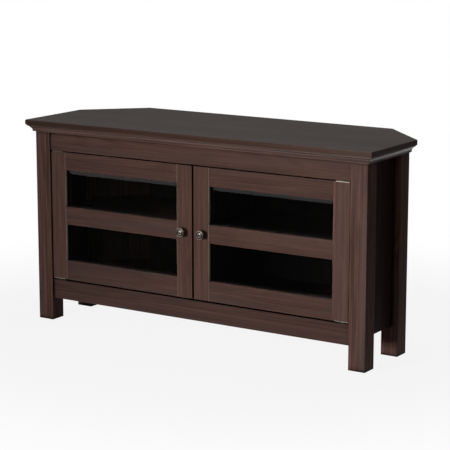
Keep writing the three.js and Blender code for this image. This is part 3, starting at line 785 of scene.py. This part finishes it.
def floor_finish():
    """Pale floor whose far part fades into the white background."""
    t = new_tree("pale_floor")
    matt = t.node("ShaderNodeBsdfDiffuse")
    matt.inputs["Color"].default_value = (FLOOR_SHADE, FLOOR_SHADE, FLOOR_SHADE, 1)
    length = t.node("ShaderNodeVectorMath", operation="LENGTH")
    t.link(t.place(), length.inputs[0])
    far = t.remap(length.outputs["Value"], FADE_NEAR, FADE_FAR, FLOOR_GLOW, 1.0, smooth=True)
    t.show_both(t.math("MULTIPLY", far, seen_plainly(t)), matt, t.glow("ShaderNodeEmission", 1.0))
    return t.owner


def make_floor():
    mesh = bpy.data.meshes.new("floor")
    bm = bmesh.new()
    bmesh.ops.create_circle(bm, cap_ends=True, cap_tris=False, segments=FLOOR_SEGMENTS, radius=FLOOR_RADIUS)
    bm.to_mesh(mesh)
    bm.free()
    floor = place_in_scene(bpy.data.objects.new("floor", mesh))
    floor.data.materials.append(floor_finish())


def make_world():
    """White as it is seen, and faint as a light."""
    world = bpy.data.worlds.new("studio")
    bpy.context.scene.world = world
    t = Tree(world, "ShaderNodeOutputWorld")
    t.show_both(seen_plainly(t), t.glow("ShaderNodeBackground", AMBIENT), t.glow("ShaderNodeBackground", 1.0))


make_floor()
make_world()

# Dark studio flags. Only reflections show them: the photograph's glass and dark sides mirror a dark room,
# where a white one would veil them. What is seen straight, or straight through glass, stays white.

FLAG_DARK = 0.01
FLAG_GREY = 0.6
BACK_FLAG_SHADE = 0.18
STREAK_BRIGHT = 7.0
FLAG_REACH = 4.5
FLAG_LIFT = 0.003
TALL_FLAG_TOP = 3.4
SIDE_FLAG_FRONT_Y = -0.5
BACK_FLAG_Y = 3.2
LOW_FLAG_Y = -2.2
LOW_FLAG_TOP = 0.37
GREY_FLAG_Y = -2.4
GREY_FLAG_TOP = 1.5
FRONT_FLOOR_NEAR_Y = -0.49
FRONT_FLOOR_FAR_Y = -5.5
SIDE_FLOOR_NEAR_X = 0.57
SIDE_FLOOR_FRONT_Y = -0.32
SIDE_FLOOR_BACK_Y = 4.0
RIGHT_FLOOR_BACK_X = 1.4


def flag(name, corners, shade):
    """A flat card that shows only after a mirror or gloss bounce, and is as bright as shade says."""
    mesh = bpy.data.meshes.new(name)
    mesh.from_pydata([Vector(c) for c in corners], [], [tuple(range(len(corners)))])
    card = place_in_scene(bpy.data.objects.new(name, mesh))
    t = new_tree(name)
    bounced = t.math("GREATER_THAN", t.node("ShaderNodeLightPath").outputs["Glossy Depth"], 0.5)
    t.show_both(bounced, t.node("ShaderNodeBsdfTransparent"), t.glow("ShaderNodeEmission", shade))
    card.data.materials.append(t.owner)
    card.visible_camera = False
    card.visible_diffuse = False
    card.visible_volume_scatter = False
    card.visible_shadow = False


def floor_flag(name, corners):
    flag(name, [(x, y, FLAG_LIFT) for x, y in corners], FLAG_DARK)


def wall_flag(name, start, end, height, shade, foot=FLAG_LIFT):
    flag(name, [(*start, foot), (*end, foot), (*end, height), (*start, height)], shade)


floor_flag("front_floor_flag", [
    (-FLAG_REACH, FRONT_FLOOR_FAR_Y), (FLAG_REACH, FRONT_FLOOR_FAR_Y),
    (FLAG_REACH, FRONT_FLOOR_NEAR_Y), (-FLAG_REACH, FRONT_FLOOR_NEAR_Y),
])
wall_flag("front_low_flag", (-FLAG_REACH, LOW_FLAG_Y), (FLAG_REACH, LOW_FLAG_Y), LOW_FLAG_TOP, FLAG_DARK)
wall_flag("front_grey_flag", (-FLAG_REACH, GREY_FLAG_Y), (FLAG_REACH, GREY_FLAG_Y), GREY_FLAG_TOP, FLAG_GREY)
# A glowing card, no lamp, that only reflections show: it puts the highlight streak on the knobs' domes.
wall_flag("front_streak_card", (-0.5, -2.05), (-0.2, -2.05), 1.2, STREAK_BRIGHT, foot=0.08)
floor_flag("right_floor_flag", [
    (SIDE_FLOOR_NEAR_X, SIDE_FLOOR_FRONT_Y), (FLAG_REACH, SIDE_FLOOR_FRONT_Y),
    (FLAG_REACH, SIDE_FLOOR_BACK_Y), (RIGHT_FLOOR_BACK_X, SIDE_FLOOR_BACK_Y),
])
floor_flag("left_floor_flag", [
    (-FLAG_REACH, SIDE_FLOOR_FRONT_Y), (-SIDE_FLOOR_NEAR_X, SIDE_FLOOR_FRONT_Y),
    (-SIDE_FLOOR_NEAR_X, SIDE_FLOOR_BACK_Y), (-FLAG_REACH, SIDE_FLOOR_BACK_Y),
])
for side, x in (("right", FLAG_REACH), ("left", -FLAG_REACH)):
    wall_flag(f"{side}_flag", (x, SIDE_FLAG_FRONT_Y), (x, BACK_FLAG_Y), TALL_FLAG_TOP, FLAG_DARK)
wall_flag("back_flag", (-FLAG_REACH, BACK_FLAG_Y), (FLAG_REACH, BACK_FLAG_Y), TALL_FLAG_TOP, BACK_FLAG_SHADE)


def softbox(name, place, target, size, watts, mirrored=True, spread=180):
    """A lamp with a width and a height at a place, turned to a target. Only a mirrored one shows in gloss."""
    light = bpy.data.lights.new(name, "AREA")
    light.shape = "RECTANGLE"
    light.size, light.size_y = size
    light.energy = watts
    light.spread = math.radians(spread)
    obj = place_in_scene(bpy.data.objects.new(name, light))
    obj.location = place
    obj.rotation_euler = (Vector(target) - Vector(place)).to_track_quat("-Z", "Y").to_euler()
    obj.visible_glossy = mirrored


softbox("key_light", (-0.75, -3.0, 0.65), (0.6, -0.2, 0.42), (0.5, 0.5), 11.8, mirrored=False, spread=63)
softbox("sparkle_light", (-0.3, -2.1, 1.05), (0.0, -0.2, 0.3), (0.2, 0.2), 1.5)
softbox("front_light", (1.2, -3.8, 1.6), (0.2, -0.2, 0.3), (1.2, 0.8), 11.5)
softbox("top_light", (0.0, 0.35, 2.4), (0.0, 0.1, 0.6), (1.2, 0.8), 10, mirrored=False)
softbox("rear_light", (-0.9, 2.4, 0.34), (0.0, 0.2, 0.3), (1.6, 0.4), 20, mirrored=False)
softbox("rim_light", (1.5, 1.9, 0.42), (0.5, 0.1, 0.35), (0.5, 0.3), 5, mirrored=False)

# Camera, from the points measured in the photograph. Angles in degrees, lens and sensor in millimetres.

CAMERA_PLACE = (2.5656, -3.9984, 1.2574)
CAMERA_AZIMUTH = 32.79
CAMERA_PITCH = 11.36
CAMERA_LENS = 137.8
SENSOR_WIDTH = 36.0
CLIP_NEAR = 0.05
CLIP_FAR = 200

camera_data = bpy.data.cameras.new("camera")
camera_data.sensor_width = SENSOR_WIDTH
camera_data.lens = CAMERA_LENS
camera_data.clip_start = CLIP_NEAR
camera_data.clip_end = CLIP_FAR
camera = place_in_scene(bpy.data.objects.new("camera", camera_data))
camera.location = CAMERA_PLACE
camera.rotation_euler = (math.radians(90 - CAMERA_PITCH), 0, math.radians(CAMERA_AZIMUTH))
bpy.context.scene.camera = camera
bpy.context.scene.view_settings.view_transform = "Standard"
